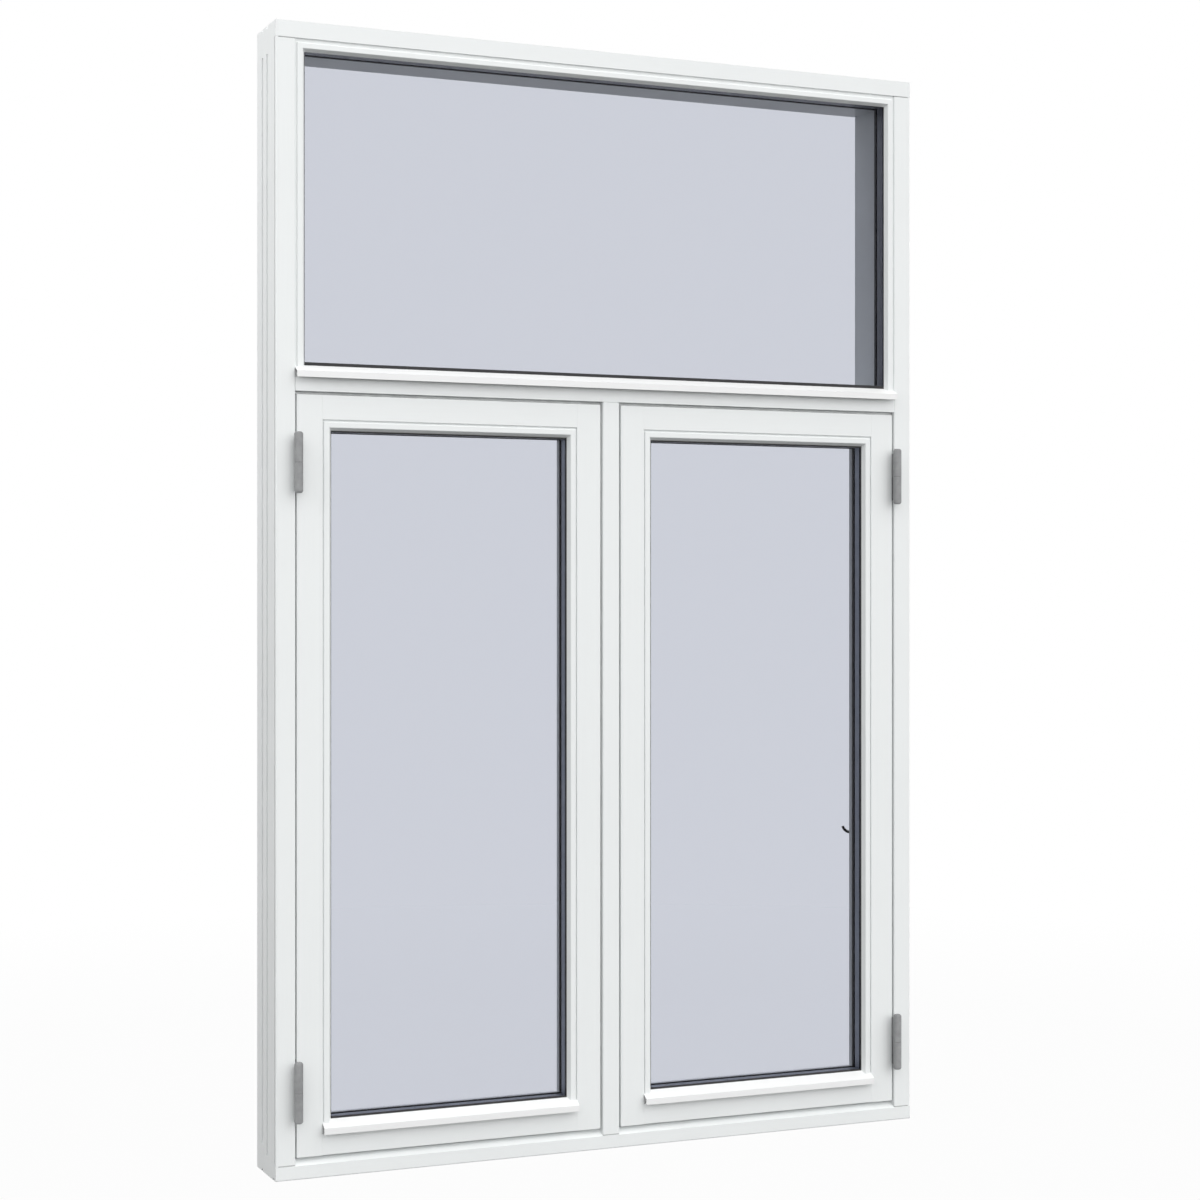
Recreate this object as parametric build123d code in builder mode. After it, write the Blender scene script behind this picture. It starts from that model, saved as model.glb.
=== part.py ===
from build123d import *
import os

# Casement window with a top light, painted timber, seen from outside on its -Y side.
# The origin is the middle of the sill's underside, where the window stands in its wall opening.

# Overall size
window_width = 1188.0
window_height = 1888.0
frame_depth = 115.0

# Frame members: face is what shows on the front, body is the thickness behind the rebate
jamb_face = 33.0
head_face = 27.0
jamb_body = 50.0
head_body = 46.5
sill_body = 45.0
sill_nose = 22.5
sill_rise = 9.5
sill_slope_depth = 14.0
transom_underside = 1286.0
transom_face = 22.0
transom_rebate_floor = 36.0
transom_body_top = 1333.0
mullion_face = 30.7
arris = 2.0
joint_arris = 1.2

# Grooves for wall seals and reveal boards, along the outer side of the frame
groove_depth = 4.0
groove_width = 8.0
front_groove_place = 7.0
front_groove_width = 4.0
middle_groove_place = 53.0
rear_groove_place = 82.0
sill_drip_place = 12.0
sill_drip_width = 6.0

# Casements and the gaps round them
casement_setback = 2.0
casement_thickness = 54.0
side_gap = 3.0
mullion_gap = 4.0
foot_gap = 3.5
head_gap = 5.5
stop_overlap = 9.0
stop_seal = 3.0
stop_seal_width = 7.0
stile_face = 43.5
top_rail_face = 40.5
bottom_rail_face = 35.5
casement_member = 59.5
casement_arris = 1.2
casement_joint_line = 0.4

# Glazing
pane = 4.0
casement_front_gasket = 4.5
casement_rear_gasket = 6.0
top_light_front_gasket = 1.0
top_light_rear_gasket = 5.5
gasket_show = 0.8
casement_cavity = 16.0
top_light_cavity = 20.0
spacer_seal = 0.4
glass_edge_cover = 12.0
glass_edge_gap = 3.0
side_quirk = 2.0
top_quirk = 3.0
top_light_side_quirk = 3.5
top_light_head_quirk = 7.0
quirk_depth = 3.0
casement_bead_face = 9.5
top_light_bead_face = 9.0
bead_fall = 4.5
bead_depth = 8.0
bead_arris = 1.5

# Drip beads: a hollow sloping extrusion along the foot of each glass
casement_drip_projection = 11.0
casement_drip_top_drop = 2.0
top_light_drip_projection = 12.0
drip_nose = 10.3
drip_wall = 1.6
top_light_drip_top_drop = 4.6

# Hinges: a barrel of two halves that stands proud of the joint between jamb and casement
hinge_diameter = 14.5
hinge_length = 100.0
hinge_projection = 14.0
hinge_dome = 4.0
hinge_gap = 0.5
hinge_leaf_thickness = 2.4
hinge_leaf_depth = 45.0
hinge_leaf_height = 42.0
hinge_from_top = 62.0
hinge_from_foot = 59.0

# Inside fittings
handle_plate_width = 28.0
handle_plate_height = 64.0
handle_plate_thickness = 6.0
handle_plate_corner = 9.0
handle_neck_diameter = 14.0
handle_reach = 34.0
handle_lever_length = 112.0
handle_lever_width = 18.0
handle_lever_thickness = 9.0
handle_lever_corner = 8.0
handle_edge = 1.5
handle_height = 560.0
hook_rod = 5.0
hook_height = 519.0
hook_reach = 14.0
hook_shank = 25.0
hook_bend = 17.0
hook_bend_turn = 70.0
hook_plate = 16.0
hook_plate_thickness = 3.0
hook_from_edge = 24.0

# Places worked out from the sizes
left = -window_width / 2
front = -frame_depth / 2
back = frame_depth / 2
casement_front = front + casement_setback
casement_back = casement_front + casement_thickness
stop_front = casement_back + stop_seal
casement_left = left + jamb_face + side_gap
casement_right = -mullion_face / 2 - mullion_gap
casement_foot = sill_nose + sill_rise + foot_gap
casement_top = transom_underside - head_gap
casement_middle = (casement_left + casement_right) / 2
casement_width = casement_right - casement_left
casement_height = casement_top - casement_foot
casement_centre_height = (casement_foot + casement_top) / 2
top_light_glass_front = front + bead_depth + top_light_front_gasket
top_light_glass_back = top_light_glass_front + 2 * pane + top_light_cavity
top_light_stop_front = top_light_glass_back + top_light_rear_gasket
casement_glass_front = casement_front + bead_depth + casement_front_gasket
casement_glass_back = casement_glass_front + 2 * pane + casement_cavity
casement_glass_stop = casement_glass_back + casement_rear_gasket

os.makedirs("parts", exist_ok=True)
pieces = []


def keep(piece, name):
    """Give a finished piece its name and put it on the list of pieces."""
    piece.label = name
    pieces.append(piece)
    return piece


def mirrored(piece, name):
    """The same piece on the other side of the window."""
    with BuildPart() as other_side:
        mirror(piece, about=Plane.YZ)
    return keep(other_side.part, name)


# Outlines of the frame members' sections
sill_outline = [
    (front, 0),
    (back, 0),
    (back, sill_body),
    (stop_front, sill_body),
    (stop_front, sill_nose + sill_rise),
    (front + sill_slope_depth, sill_nose + sill_rise),
    (front, sill_nose),
]
head_outline = [
    (front, window_height),
    (back, window_height),
    (back, window_height - head_body),
    (top_light_stop_front, window_height - head_body),
    (top_light_stop_front, window_height - head_face),
    (front, window_height - head_face),
]
jamb_outline = [
    (left, front),
    (left + jamb_face, front),
    (left + jamb_face, stop_front),
    (left + jamb_body, stop_front),
    (left + jamb_body, back),
    (left, back),
]
transom_outline = [
    (front, transom_underside),
    (stop_front, transom_underside),
    (stop_front, casement_top - stop_overlap),
    (back, casement_top - stop_overlap),
    (back, transom_body_top),
    (top_light_stop_front, transom_body_top),
    (top_light_stop_front, transom_underside + transom_rebate_floor),
    (front + bead_depth, transom_underside + transom_rebate_floor),
    (front + bead_depth, transom_underside + transom_face),
    (front, transom_underside + transom_face),
]


def bar_blank(outline, half_length, joint_height):
    """A member across the window without its arrises, and with a nib that eases the joint's front."""
    with BuildPart() as blank:
        with BuildSketch(Plane.YZ):
            with BuildLine():
                Polyline(*outline, close=True)
            make_face()
            with Locations((front, joint_height)):
                RegularPolygon(joint_arris, 4)
        extrude(amount=half_length, both=True)
    return blank.part


sill_blank = bar_blank(sill_outline, window_width / 2, sill_nose)
head_blank = bar_blank(head_outline, window_width / 2, window_height - head_face)

# Sill: a nosed front, a slope that sheds water, a flat below the casements and an upstand behind
with BuildPart() as frame_sill:
    with BuildSketch(Plane.YZ) as profile:
        with BuildLine():
            Polyline(*sill_outline, close=True)
        make_face()
        fillet(profile.vertices().group_by(Axis.Y)[0], arris)
        with Locations((front + sill_drip_place, 0), (front + rear_groove_place, 0)):
            Rectangle(
                sill_drip_width, groove_depth, align=(Align.CENTER, Align.MIN), mode=Mode.SUBTRACT
            )
    extrude(amount=window_width / 2, both=True)
keep(frame_sill.part, "frame_sill")

# Head: runs over the jambs, with the top light's glass against its lower rear part
with BuildPart() as frame_head:
    with BuildSketch(Plane.YZ) as profile:
        with BuildLine():
            Polyline(*head_outline, close=True)
        make_face()
        fillet(profile.vertices().group_by(Axis.Y)[0], arris)
        with Locations(
            (front + middle_groove_place, window_height), (front + rear_groove_place, window_height)
        ):
            Rectangle(
                groove_width, groove_depth, align=(Align.CENTER, Align.MAX), mode=Mode.SUBTRACT
            )
    extrude(amount=window_width / 2, both=True)
keep(frame_head.part, "frame_head")

# Jambs: between the sill and the head, with a deeper stop beside the top light
with BuildPart() as jamb_stop:
    with BuildSketch(Plane.XY.offset(transom_underside)):
        with Locations((left + jamb_face, top_light_stop_front)):
            Rectangle(
                jamb_body - jamb_face,
                stop_front - top_light_stop_front,
                align=(Align.MIN, Align.MIN),
            )
    extrude(amount=window_height - transom_underside)

with BuildPart() as jamb_blank:
    with BuildSketch():
        with BuildLine():
            Polyline(*jamb_outline, close=True)
        make_face()
    extrude(amount=window_height)
    add(jamb_stop.part)

with BuildPart() as frame_jamb_left:
    with BuildSketch() as profile:
        with BuildLine():
            Polyline(*jamb_outline, close=True)
        make_face()
        fillet(profile.vertices().group_by(Axis.Y)[0], arris)
        with Locations((left, front + middle_groove_place), (left, front + rear_groove_place)):
            Rectangle(
                groove_depth, groove_width, align=(Align.MIN, Align.CENTER), mode=Mode.SUBTRACT
            )
        with Locations((left, front + front_groove_place)):
            Rectangle(
                groove_depth,
                front_groove_width,
                align=(Align.MIN, Align.CENTER),
                mode=Mode.SUBTRACT,
            )
    extrude(amount=window_height)
    add(jamb_stop.part)
    add(sill_blank, mode=Mode.SUBTRACT)
    add(head_blank, mode=Mode.SUBTRACT)
keep(frame_jamb_left.part, "frame_jamb_left")
mirrored(frame_jamb_left.part, "frame_jamb_right")

# Transom: between the jambs, with the casements' stop below and the glass rebate above
with BuildPart() as frame_transom:
    with BuildSketch(Plane.YZ) as profile:
        with BuildLine():
            Polyline(*transom_outline, close=True)
        make_face()
        fillet(profile.vertices().group_by(Axis.Y)[0], arris)
    extrude(amount=window_width / 2 - jamb_face / 2, both=True)
    add(jamb_blank.part, mode=Mode.SUBTRACT)
    mirror(jamb_blank.part, about=Plane.YZ, mode=Mode.SUBTRACT)
keep(frame_transom.part, "frame_transom")

# Mullion: a narrow face with a stop behind it on both sides, from the sill to the transom
with BuildPart() as frame_mullion:
    stop_width = mullion_face + 2 * (mullion_gap + stop_overlap)
    with BuildSketch() as profile:
        with Locations((0, front)):
            Rectangle(mullion_face, frame_depth, align=(Align.CENTER, Align.MIN))
        fillet(profile.vertices().group_by(Axis.Y)[0], arris)
        with Locations((0, stop_front)):
            Rectangle(stop_width, back - stop_front, align=(Align.CENTER, Align.MIN))
    extrude(amount=transom_underside)
    add(sill_blank, mode=Mode.SUBTRACT)
    add(bar_blank(transom_outline, stop_width, transom_underside), mode=Mode.SUBTRACT)
keep(frame_mullion.part, "frame_mullion")


def bead_outline(quirk, face):
    """Corners of a bead's section: a sunk quirk at its side, a flat face and a fall to the glass."""
    return [
        (0, quirk_depth),
        (quirk, quirk_depth),
        (quirk, 0),
        (quirk + face, 0),
        (quirk + face + bead_fall, bead_depth),
        (0, bead_depth),
    ]


def upright_bead(corner, length, quirk, quirk_above, face, below):
    """A bead up the left side of a glass, mitred at its top and standing on a drip bead."""
    width = face + bead_fall
    with BuildPart() as bead:
        with BuildSketch(Plane(corner).offset(-length)) as section:
            with BuildLine():
                Polyline(*bead_outline(quirk, face), close=True)
            make_face()
            fillet(section.vertices().group_by(Axis.Y)[0], bead_arris)
        extrude(amount=length)
        with BuildSketch(Plane(corner, x_dir=(1, 0, 0), z_dir=(0, -1, 0))):
            with BuildLine():
                Polyline(
                    (0, 0),
                    (quirk, -quirk_above),
                    (quirk + width, -quirk_above - width),
                    (quirk + width, -length),
                    (0, -length),
                    close=True,
                )
            make_face()
        extrude(amount=-bead_depth, mode=Mode.INTERSECT)
        add(below, mode=Mode.SUBTRACT)
    return bead.part


def top_bead(corner, length, quirk, quirk_beside, face):
    """A bead along the top of a glass, mitred at both ends."""
    width = face + bead_fall
    with BuildPart() as bead:
        with BuildSketch(Plane(corner, x_dir=(0, 0, -1), z_dir=(1, 0, 0))) as section:
            with BuildLine():
                Polyline(*bead_outline(quirk, face), close=True)
            make_face()
            fillet(section.vertices().group_by(Axis.Y)[0], bead_arris)
        extrude(amount=length)
        with BuildSketch(Plane(corner, x_dir=(1, 0, 0), z_dir=(0, -1, 0))):
            with BuildLine():
                Polyline(
                    (0, 0),
                    (length, 0),
                    (length - quirk_beside, -quirk),
                    (length - quirk_beside - width, -quirk - width),
                    (quirk_beside + width, -quirk - width),
                    (quirk_beside, -quirk),
                    close=True,
                )
            make_face()
        extrude(amount=-bead_depth, mode=Mode.INTERSECT)
    return bead.part


def drip_bead(x_start, x_end, face_y, projection, floor_z, top_z):
    """A hollow drip bead, open below, and the solid wedge that the upright beads stand on."""
    nose_y = face_y - projection
    back_y = face_y + bead_depth
    nose_top = floor_z + drip_nose
    outside = [(back_y, floor_z), (nose_y, floor_z), (nose_y, nose_top), (back_y, top_z)]
    slope = (top_z - nose_top) / (back_y - nose_y)
    hollow = [
        (back_y - drip_wall, floor_z),
        (nose_y + drip_wall, floor_z),
        (nose_y + drip_wall, nose_top + drip_wall * (slope - 1)),
        (back_y - drip_wall, top_z - drip_wall * (slope + 1)),
    ]
    with BuildPart() as wedge:
        with BuildSketch(Plane((x_start, 0, 0), x_dir=(0, 1, 0), z_dir=(1, 0, 0))):
            with BuildLine():
                Polyline(*outside, close=True)
            make_face()
        extrude(amount=x_end - x_start)
    with BuildPart() as bead:
        add(wedge.part)
        with BuildSketch(Plane((x_start, 0, 0), x_dir=(0, 1, 0), z_dir=(1, 0, 0))):
            with BuildLine():
                Polyline(*hollow, close=True)
            make_face()
        extrude(amount=x_end - x_start, mode=Mode.SUBTRACT)
    return bead.part, wedge.part


def ring(centre, width, height, band, y_start, thickness):
    """A flat rectangular ring, such as a gasket or a spacer, round the edge of a glass."""
    with BuildPart() as frame_ring:
        with BuildSketch(Plane((centre[0], y_start, centre[1]), x_dir=(1, 0, 0), z_dir=(0, -1, 0))):
            Rectangle(width, height)
            Rectangle(width - 2 * band, height - 2 * band, mode=Mode.SUBTRACT)
        extrude(amount=-thickness)
    return frame_ring.part


def glass_unit(centre, width, height, y_front, cavity, gasket_depths, seal):
    """Two panes, the spacer sealed between them, and the gaskets and seals round them."""
    front_gasket, rear_gasket = gasket_depths
    edge = glass_edge_cover - glass_edge_gap
    glass_width = width + 2 * edge
    glass_height = height + 2 * edge
    y_back = y_front + 2 * pane + cavity
    plane = Plane((centre[0], y_front, centre[1]), x_dir=(1, 0, 0), z_dir=(0, -1, 0))
    with BuildPart() as panes:
        with BuildSketch(plane.offset(-pane), plane.offset(-2 * pane - cavity)):
            Rectangle(glass_width, glass_height)
        extrude(amount=pane)
    spacer = ring(centre, glass_width, glass_height, edge, y_front + pane + seal, cavity - 2 * seal)
    lip = edge + gasket_show
    with BuildPart() as gaskets:
        add(ring(centre, glass_width, glass_height, lip, y_front - front_gasket, front_gasket))
        add(ring(centre, glass_width, glass_height, lip, y_back, rear_gasket))
        if seal:
            for y_seal in (y_front + pane, y_back - pane - seal):
                add(ring(centre, glass_width, glass_height, edge, y_seal, seal))
    return panes.part, spacer, gaskets.part


# Casement: stiles that run full height and rails between them, built for the left side
def casement_member_outline(face):
    """Corners of a casement member's section: full face in front, glass stop behind."""
    return [
        (0, casement_front),
        (face, casement_front),
        (face, casement_glass_stop),
        (casement_member, casement_glass_stop),
        (casement_member, casement_back),
        (0, casement_back),
    ]


stile_plane = Plane((casement_left, 0, casement_foot))
with BuildPart() as stile_blank:
    with BuildSketch(stile_plane):
        with BuildLine():
            Polyline(*casement_member_outline(stile_face), close=True)
        make_face()
    extrude(amount=casement_height)

with BuildPart() as left_casement_hinge_stile:
    with BuildSketch(stile_plane) as profile:
        with BuildLine():
            Polyline(*casement_member_outline(stile_face), close=True)
        make_face()
        front_corners = profile.vertices().group_by(Axis.Y)[0].sort_by(Axis.X)
        fillet(front_corners[0], casement_arris)
        fillet(profile.vertices().group_by(Axis.Y)[0].sort_by(Axis.X)[-1], casement_joint_line)
    extrude(amount=casement_height)
keep(left_casement_hinge_stile.part, "left_casement_hinge_stile")

casement_middle_plane = Plane.YZ.offset(casement_middle)
with BuildPart() as left_casement_lock_stile:
    mirror(left_casement_hinge_stile.part, about=casement_middle_plane)
keep(left_casement_lock_stile.part, "left_casement_lock_stile")


def casement_rail(plane, face, length):
    """A rail across the casement, coped over the stiles' glass stops."""
    with BuildPart() as rail:
        with BuildSketch(plane) as section:
            with BuildLine():
                Polyline(*casement_member_outline(face), close=True)
            make_face()
            fillet(section.vertices().group_by(Axis.Y)[0], casement_arris)
        extrude(amount=length)
        add(stile_blank.part, mode=Mode.SUBTRACT)
        mirror(stile_blank.part, about=casement_middle_plane, mode=Mode.SUBTRACT)
    return rail.part


keep(
    casement_rail(
        Plane((casement_left, 0, casement_top), x_dir=(0, 0, -1), z_dir=(1, 0, 0)),
        top_rail_face,
        casement_width,
    ),
    "left_casement_top_rail",
)
keep(
    casement_rail(
        Plane((casement_left, 0, casement_foot), x_dir=(0, 0, 1), z_dir=(-1, 0, 0)),
        bottom_rail_face,
        -casement_width,
    ),
    "left_casement_bottom_rail",
)

# Casement glazing
glass_left = casement_left + casement_member
glass_right = casement_right - casement_member
glass_foot = casement_foot + casement_member
glass_top = casement_top - casement_member
panes, spacer, gaskets = glass_unit(
    ((glass_left + glass_right) / 2, (glass_foot + glass_top) / 2),
    glass_right - glass_left,
    glass_top - glass_foot,
    casement_glass_front,
    casement_cavity,
    (casement_front_gasket, casement_rear_gasket),
    spacer_seal,
)
keep(panes, "left_casement_glass")
keep(spacer, "left_casement_spacer")
keep(gaskets, "left_casement_gaskets")

casement_drip, casement_drip_wedge = drip_bead(
    casement_left + stile_face,
    casement_right - stile_face,
    casement_front,
    casement_drip_projection,
    casement_foot + bottom_rail_face,
    glass_foot - casement_drip_top_drop,
)
casement_bead_corner = (casement_left + stile_face, casement_front, casement_top - top_rail_face)
keep(casement_drip, "left_casement_drip_bead")
hinge_side_bead = keep(
    upright_bead(
        casement_bead_corner,
        casement_height - top_rail_face - bottom_rail_face,
        side_quirk,
        top_quirk,
        casement_bead_face,
        casement_drip_wedge,
    ),
    "left_casement_hinge_bead",
)
with BuildPart() as lock_side_bead:
    mirror(hinge_side_bead, about=casement_middle_plane)
keep(lock_side_bead.part, "left_casement_lock_bead")
keep(
    top_bead(
        casement_bead_corner,
        casement_width - 2 * stile_face,
        top_quirk,
        side_quirk,
        casement_bead_face,
    ),
    "left_casement_top_bead",
)

# Opening seal: a strip all round between the casement's back and the frame's stops
seal_inset = (stop_overlap - stop_seal_width) / 2
keep(
    ring(
        (casement_middle, casement_centre_height),
        casement_width - 2 * seal_inset,
        casement_height - 2 * seal_inset,
        stop_seal_width,
        casement_back,
        stop_seal,
    ),
    "left_opening_seal",
)


# Hinges: the lower half stands on the jamb, the upper half carries the casement
def hinge_half(leaf_x, barrel_foot, leaf_foot, free_end):
    """Half of a hinge: a barrel domed at its free end and a leaf in the joint behind it."""
    with BuildPart() as half:
        with BuildSketch(Plane((hinge_x, hinge_y, barrel_foot))):
            Circle(hinge_diameter / 2)
        extrude(amount=hinge_half_length)
        fillet(half.faces().sort_by(Axis.Z)[free_end].edges(), hinge_dome)
        with BuildSketch(Plane((leaf_x, hinge_y, leaf_foot))):
            Rectangle(
                hinge_leaf_thickness,
                hinge_leaf_depth,
                align=(Align.MIN, Align.MIN),
            )
        extrude(amount=hinge_leaf_height)
    return half.part


hinge_x = left + jamb_face + side_gap / 2
hinge_y = front - hinge_projection
hinge_half_length = (hinge_length - hinge_gap) / 2
jamb_leaf_x = left + jamb_face
casement_leaf_x = casement_left - hinge_leaf_thickness
hinge_feet = (casement_foot + hinge_from_foot, casement_top - hinge_from_top - hinge_length)
leaf_inset = hinge_half_length - hinge_leaf_height

with BuildPart() as frame_hinge_halves:
    for foot in hinge_feet:
        add(hinge_half(jamb_leaf_x, foot, foot + leaf_inset, 0))
keep(frame_hinge_halves.part, "left_frame_hinge_halves")

with BuildPart() as casement_hinge_halves:
    for foot in hinge_feet:
        middle = foot + hinge_half_length + hinge_gap
        add(hinge_half(casement_leaf_x, middle, middle, -1))
keep(casement_hinge_halves.part, "left_casement_hinge_halves")

# Handle on the inside of the lock stile: plate, neck and a lever that hangs when shut
handle_x = casement_right - casement_member / 2
handle_plane = Plane((handle_x, casement_back, handle_height), x_dir=(1, 0, 0), z_dir=(0, 1, 0))
with BuildPart() as handle:
    with BuildSketch(handle_plane):
        RectangleRounded(handle_plate_width, handle_plate_height, handle_plate_corner)
    extrude(amount=handle_plate_thickness)
    with BuildSketch(handle_plane):
        Circle(handle_neck_diameter / 2)
    extrude(amount=handle_reach)
    with BuildSketch(handle_plane.offset(handle_reach)):
        with Locations((0, (handle_lever_length - handle_lever_width) / 2)):
            RectangleRounded(handle_lever_width, handle_lever_length, handle_lever_corner)
    extrude(amount=-handle_lever_thickness)
    chamfer(handle.faces().sort_by(Axis.Y)[-1].edges(), handle_edge)
keep(handle.part, "left_casement_handle")

# The right casement is the left one mirrored
for piece in list(pieces):
    if piece.label.startswith("left_"):
        mirrored(piece, piece.label.replace("left_", "right_"))

# Stay hook on the inside of the right casement's hinge stile, seen through its glass
hook_x = casement_left + hook_from_edge
hook_y = casement_back + hook_reach
hook_wall_plane = Plane((-hook_x, casement_back, hook_height), x_dir=(1, 0, 0), z_dir=(0, 1, 0))
hook_end = (-hook_x - hook_shank, hook_y, hook_height)
with BuildPart() as stay_hook:
    with BuildSketch(hook_wall_plane):
        Circle(hook_plate / 2)
    extrude(amount=hook_plate_thickness)
    with BuildSketch(hook_wall_plane):
        Circle(hook_rod / 2)
    extrude(amount=hook_reach + hook_rod / 2)
    with BuildSketch(Plane(hook_end, z_dir=(-1, 0, 0))):
        Circle(hook_rod / 2)
    extrude(amount=-hook_shank)
    with BuildSketch(Plane(hook_end, z_dir=(-1, 0, 0))):
        Circle(hook_rod / 2)
    bend_centre = Vector(hook_end) + Vector(0, 0, hook_bend)
    revolve(axis=Axis(bend_centre, (0, 1, 0)), revolution_arc=hook_bend_turn)
keep(stay_hook.part, "right_casement_stay_hook")

# Top light: its glass stands straight in the frame, held by three beads and a drip bead
top_light_glass_foot = transom_body_top
top_light_glass_top = window_height - head_body
top_light_glass_half = window_width / 2 - jamb_body
top_light_rebate_foot = transom_underside + transom_face
panes, spacer, gaskets = glass_unit(
    (0, (top_light_glass_foot + top_light_glass_top) / 2),
    2 * top_light_glass_half,
    top_light_glass_top - top_light_glass_foot,
    top_light_glass_front,
    top_light_cavity,
    (top_light_front_gasket, top_light_rear_gasket),
    0,
)
keep(panes, "top_light_glass")
keep(spacer, "top_light_spacer")
keep(gaskets, "top_light_gaskets")

top_light_drip, top_light_drip_wedge = drip_bead(
    left + jamb_face,
    -left - jamb_face,
    front,
    top_light_drip_projection,
    top_light_rebate_foot,
    top_light_glass_foot - top_light_drip_top_drop,
)
top_light_bead_corner = (left + jamb_face, front, window_height - head_face)
keep(top_light_drip, "top_light_drip_bead")
side_bead = keep(
    upright_bead(
        top_light_bead_corner,
        window_height - head_face - top_light_rebate_foot,
        top_light_side_quirk,
        top_light_head_quirk,
        top_light_bead_face,
        top_light_drip_wedge,
    ),
    "top_light_left_bead",
)
mirrored(side_bead, "top_light_right_bead")
keep(
    top_bead(
        top_light_bead_corner,
        window_width - 2 * jamb_face,
        top_light_head_quirk,
        top_light_side_quirk,
        top_light_bead_face,
    ),
    "top_light_head_bead",
)

for piece in pieces:
    export_step(piece, f"parts/{piece.label}.step")
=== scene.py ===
"""Finishes, small fittings and studio for a painted timber casement window with a top light."""

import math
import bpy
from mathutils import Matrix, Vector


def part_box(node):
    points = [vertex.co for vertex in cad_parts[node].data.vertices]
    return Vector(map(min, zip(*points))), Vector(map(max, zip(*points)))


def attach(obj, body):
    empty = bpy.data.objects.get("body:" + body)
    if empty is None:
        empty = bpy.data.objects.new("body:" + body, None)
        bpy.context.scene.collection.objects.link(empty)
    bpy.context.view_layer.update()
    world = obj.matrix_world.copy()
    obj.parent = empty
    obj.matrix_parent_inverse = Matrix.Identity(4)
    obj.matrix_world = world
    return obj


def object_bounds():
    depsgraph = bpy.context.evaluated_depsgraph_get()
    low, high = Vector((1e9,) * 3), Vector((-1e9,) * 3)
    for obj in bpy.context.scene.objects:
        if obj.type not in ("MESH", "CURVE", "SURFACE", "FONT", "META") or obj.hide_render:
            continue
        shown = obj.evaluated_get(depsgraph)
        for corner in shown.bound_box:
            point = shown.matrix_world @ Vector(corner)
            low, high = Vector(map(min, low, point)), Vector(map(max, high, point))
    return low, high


bl_info = {
    "name": "Casement Window with Top Light",
    "version": (1, 0, 0),
    "blender": (4, 5, 0),
    "location": "View3D > Sidebar > Window",
    "description": "Paint, glass, metal and small fittings for a painted timber window",
    "category": "Object",
}

import bpy
from mathutils import Vector

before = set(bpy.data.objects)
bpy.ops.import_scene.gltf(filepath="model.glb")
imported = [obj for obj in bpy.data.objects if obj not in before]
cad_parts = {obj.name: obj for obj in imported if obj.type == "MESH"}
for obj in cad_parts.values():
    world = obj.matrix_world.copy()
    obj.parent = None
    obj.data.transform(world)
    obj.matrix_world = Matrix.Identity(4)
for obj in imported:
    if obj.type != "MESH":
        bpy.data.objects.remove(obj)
cad_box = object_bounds()

BODY = "root"
SIDES = ("left", "right")
WHITE = (1, 1, 1, 1)
# Painted shade: the near-black colour of the spacer's small holes, which are not cut into the bar
HOLE_SHADE = (0.01, 0.01, 0.012, 1)

# Sizes in metres that the packed pieces were made with
HANDLE_PLATE_HEIGHT = 0.064
HANDLE_PLATE_THICKNESS = 0.006
HINGE_GAP = 0.0005
SIDE_GAP = 0.003
MULLION_GAP = 0.004
HEAD_GAP = 0.0055

# How much of a hinge's front holds its barrel and nothing of its leaf
BARREL_DEPTH = 0.012

# How deep the stronger grain of the outer sides goes, which is past the bottom of their grooves
OUTER_SIDE_DEPTH = 0.0045

# Timber pieces whose grain runs across the window, and those whose grain runs up it
ACROSS = ("frame_sill", "frame_head", "frame_transom", "top_light_head_bead")
UPRIGHT = (
    "frame_jamb_left",
    "frame_jamb_right",
    "frame_mullion",
    "top_light_left_bead",
    "top_light_right_bead",
)
CASEMENT_ACROSS = ("casement_top_rail", "casement_bottom_rail", "casement_top_bead")
CASEMENT_UPRIGHT = (
    "casement_hinge_stile",
    "casement_lock_stile",
    "casement_hinge_bead",
    "casement_lock_bead",
)

# Sizes of the finishes' patterns, in patches to the metre
GRAIN = 420
STIPPLE = 1400
PAINT_CLOUDS = 9
COAT_SKIN = 1800
COAT_CLOUDS = 14
SPACER_CLOUDS = 60
RUBBER_SKIN = 900
RUBBER_DUST = 35
BRUSH_LINES = 1600
METAL_CLOUDS = 90

# How far grain and brush lines are drawn out along a piece
GRAIN_STRETCH = 0.03
BRUSH_STRETCH = 0.05

# How deep the rubber's skin and the brush lines are
RUBBER_RELIEF = 0.00003
BRUSH_RELIEF = 0.00002

# The levels above which noise shows as grain in the paint and as dust on the rubber
GRAIN_LEVEL = 0.42
DUST_LEVEL = 0.35

# How strongly grain and clouds thin the paint and grain raises it, and what the outer sides add
GRAIN_THINNING = 0.5
OUTER_GRAIN_THINNING = 1.6
CLOUD_THINNING = 0.6
GRAIN_RISE = 0.35
OUTER_GRAIN_RISE = 0.9

# How much the clouds on metal are strengthened, and what is then taken off them
METAL_CONTRAST = 1.6
METAL_CLEARED = 0.3

# Roughness of the finishes that only one kind of piece has
COAT_ROUGHNESS = 0.36
SPACER_ROUGHNESS = 0.45
FLOOR_ROUGHNESS = 0.9

# How far patterns vary the roughness
PAINT_CLOUD_SPREAD = 0.12
STIPPLE_SPREAD = 0.06
COAT_SPREAD = 0.1
SPACER_SPREAD = 0.15
RUBBER_SPREAD = 0.2
METAL_CLOUD_SPREAD = 0.25
BRUSH_SPREAD = 0.12

# How much of its colour a finish keeps in its darker patches
COAT_DULLED = 0.97
SPACER_DULLED = 0.86
METAL_DULLED = 0.78

# Shares of a handle screw's head and of its rise
SCREW_RIM = 0.16
SCREW_CROWN = 0.35
SLOT_LENGTH = 0.6
SLOT_WIDTH = 0.13
SLOT_DEPTH = 0.6

# Share of a washer's radius that its ring takes, and of a strip's thickness that is rounded
WASHER_RING = 0.4
STRIP_ROUNDING = 0.4

# Above this share a normal counts as facing along an axis
FACING = 0.9

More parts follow.
